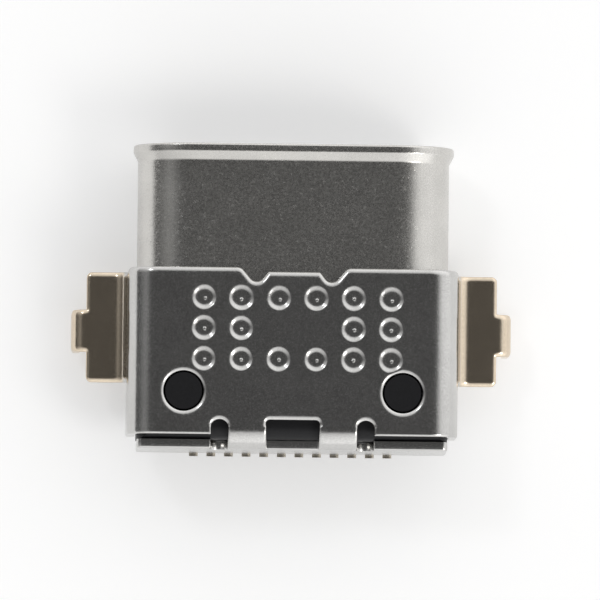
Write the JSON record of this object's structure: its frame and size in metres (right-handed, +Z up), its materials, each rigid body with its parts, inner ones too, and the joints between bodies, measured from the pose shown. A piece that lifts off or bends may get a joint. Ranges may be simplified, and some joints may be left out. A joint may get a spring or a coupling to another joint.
{
  "type": "usb-c socket",
  "caption": "Low surface-mount usb-c socket: a flared steel mouth over a contact tongue, under a spot-welded shield cover with side wings and solder legs.",
  "frame": {"origin": "centre of the bounding box in X and Y, at the underside of the mouth's flared rim in Z", "axes": "+X across the mouth, along the line through both wings; +Y out of the mouth, the way a plug leaves; +Z up, away from the board"},
  "size_m": [0.0126, 0.0088, 0.0034],
  "materials": {
    "steel_shell": "satin nickel",
    "steel_cover": "satin nickel, with a thin gold flash on the wings and legs",
    "black_plastic": "moulded",
    "gold_contact": "gold plated"
  },
  "bodies": {
    "root": {"inner_shell": "steel_shell", "shield_cover": "steel_cover", "housing": "black_plastic", "upper_insulator": "black_plastic", "lower_insulator": "black_plastic", "latch_plate": "steel_shell", "upper_ground_plate": "gold_contact", "lower_ground_plate": "gold_contact", "upper_contact_1": "gold_contact", "upper_contact_2": "gold_contact", "upper_contact_3": "gold_contact", "upper_contact_4": "gold_contact", "upper_contact_5": "gold_contact", "upper_contact_6": "gold_contact", "upper_contact_7": "gold_contact", "upper_contact_8": "gold_contact", "upper_contact_9": "gold_contact", "upper_contact_10": "gold_contact", "upper_contact_11": "gold_contact", "upper_contact_12": "gold_contact", "lower_contact_1": "gold_contact", "lower_contact_2": "gold_contact", "lower_contact_3": "gold_contact", "lower_contact_4": "gold_contact", "lower_contact_5": "gold_contact", "lower_contact_6": "gold_contact", "lower_contact_7": "gold_contact", "lower_contact_8": "gold_contact", "lower_contact_9": "gold_contact", "lower_contact_10": "gold_contact", "lower_contact_11": "gold_contact", "lower_contact_12": "gold_contact"}
  },
  "joints": []
}
